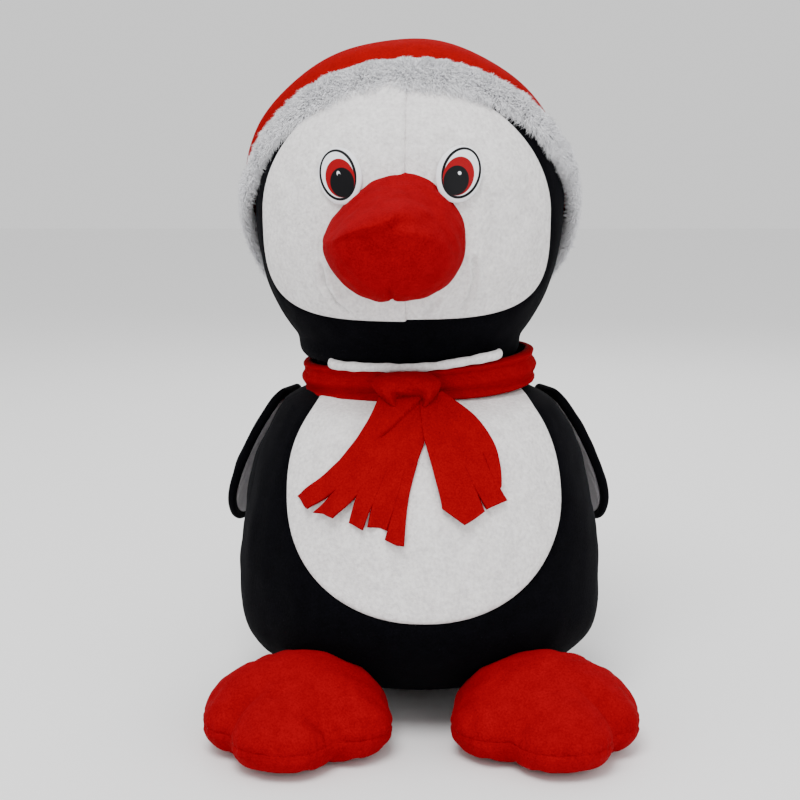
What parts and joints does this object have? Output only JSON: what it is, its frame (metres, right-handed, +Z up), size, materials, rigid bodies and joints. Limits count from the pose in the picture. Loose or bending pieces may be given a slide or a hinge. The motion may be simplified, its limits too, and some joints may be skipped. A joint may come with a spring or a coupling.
{
  "type": "plush penguin",
  "caption": "Sitting stuffed penguin with a white face and belly, soft cone beak, plastic eyes, sewn wings and feet, a tied felt scarf and a fur-trimmed hat with a drooping tip.",
  "frame": {"origin": "on the rest plane, straight below the centre of the torso's widest ring", "axes": "+Z up, the face and belly look along -Y, +X is to the viewer's right"},
  "size_m": [0.2562, 0.3339, 0.401],
  "materials": {
    "black_plush": "short-pile black plush with a faint sheen",
    "white_fleece": "brushed white fleece with a fine grain",
    "red_fleece": "brushed red fleece",
    "scarf_felt": "flat red felt with cut edges",
    "hat_fleece": "red fleece",
    "white_fur": "long-pile white fur",
    "stuffing": "polyester fibre filling",
    "eye_plastic": "glossy printed plastic",
    "washer_plastic": "matt plastic"
  },
  "bodies": {
    "torso": {"torso_cover": "black_plush", "belly_panel": "white_fleece", "base_panel": "black_plush", "torso_fill": "stuffing", "neck_trim": "white_fleece", "scarf_wrap": "scarf_felt", "scarf_knot": "scarf_felt", "ankle_left": "black_plush", "ankle_right": "black_plush"},
    "head": {"head_cover": "black_plush", "face_left": "white_fleece", "face_right": "white_fleece", "head_fill": "stuffing", "beak_cover": "red_fleece", "beak_fill": "stuffing", "eye_left": "eye_plastic", "eye_right": "eye_plastic", "washer_left": "washer_plastic", "washer_right": "washer_plastic", "hat_crown": "hat_fleece", "hat_brim": "white_fur"},
    "hat_tip": {"hat_tip": "hat_fleece", "hat_pompom": "white_fur"},
    "scarf_tail_left": {"scarf_tail_left": "scarf_felt"},
    "scarf_tail_right": {"scarf_tail_right": "scarf_felt"},
    "wing_left": {"wing_left_outer": "black_plush", "wing_left_fill": "stuffing", "wing_left_lining": "white_fleece"},
    "wing_right": {"wing_right_outer": "black_plush", "wing_right_fill": "stuffing", "wing_right_lining": "white_fleece"},
    "foot_left": {"foot_left_upper": "red_fleece", "foot_left_sole": "red_fleece", "foot_left_fill": "stuffing"},
    "foot_right": {"foot_right_upper": "red_fleece", "foot_right_sole": "red_fleece", "foot_right_fill": "stuffing"}
  },
  "joints": [
    {"name": "head_turn", "type": "hinge", "parent": "torso", "child": "head", "pos_m": [0, 0.02, 0.205], "axis": [0, 0, 1], "range_deg": [-20, 20], "stiffness_Nm_per_rad": 0.6},
    {"name": "hat_tip_swing", "type": "hinge", "parent": "head", "child": "hat_tip", "pos_m": [-0.006, 0.1353, 0.325], "axis": [1, 0, 0], "range_deg": [0, 60]},
    {"name": "scarf_tail_left_swing", "type": "hinge", "parent": "torso", "child": "scarf_tail_left", "pos_m": [-0.013, -0.0742, 0.182], "axis": [-1, 0, 0], "range_deg": [0, 60]},
    {"name": "scarf_tail_right_swing", "type": "hinge", "parent": "torso", "child": "scarf_tail_right", "pos_m": [0.012, -0.0742, 0.182], "axis": [-1, 0, 0], "range_deg": [0, 60]},
    {"name": "wing_left_flap", "type": "hinge", "parent": "torso", "child": "wing_left", "pos_m": [-0.07829, 0.04849, 0.182], "axis": [0.342, 0.9397, 0], "range_deg": [0, 75], "stiffness_Nm_per_rad": 0.05},
    {"name": "wing_right_flap", "type": "hinge", "parent": "torso", "child": "wing_right", "pos_m": [0.07829, 0.04849, 0.182], "axis": [0.342, -0.9397, 0], "range_deg": [0, 75], "stiffness_Nm_per_rad": 0.05},
    {"name": "foot_left_lift", "type": "hinge", "parent": "torso", "child": "foot_left", "pos_m": [-0.04745, -0.10176, 0.05], "axis": [-0.9063, 0.4226, 0], "range_deg": [0, 25], "stiffness_Nm_per_rad": 0.3},
    {"name": "foot_right_lift", "type": "hinge", "parent": "torso", "child": "foot_right", "pos_m": [0.04745, -0.10176, 0.05], "axis": [-0.9063, -0.4226, 0], "range_deg": [0, 25], "stiffness_Nm_per_rad": 0.3}
  ]
}
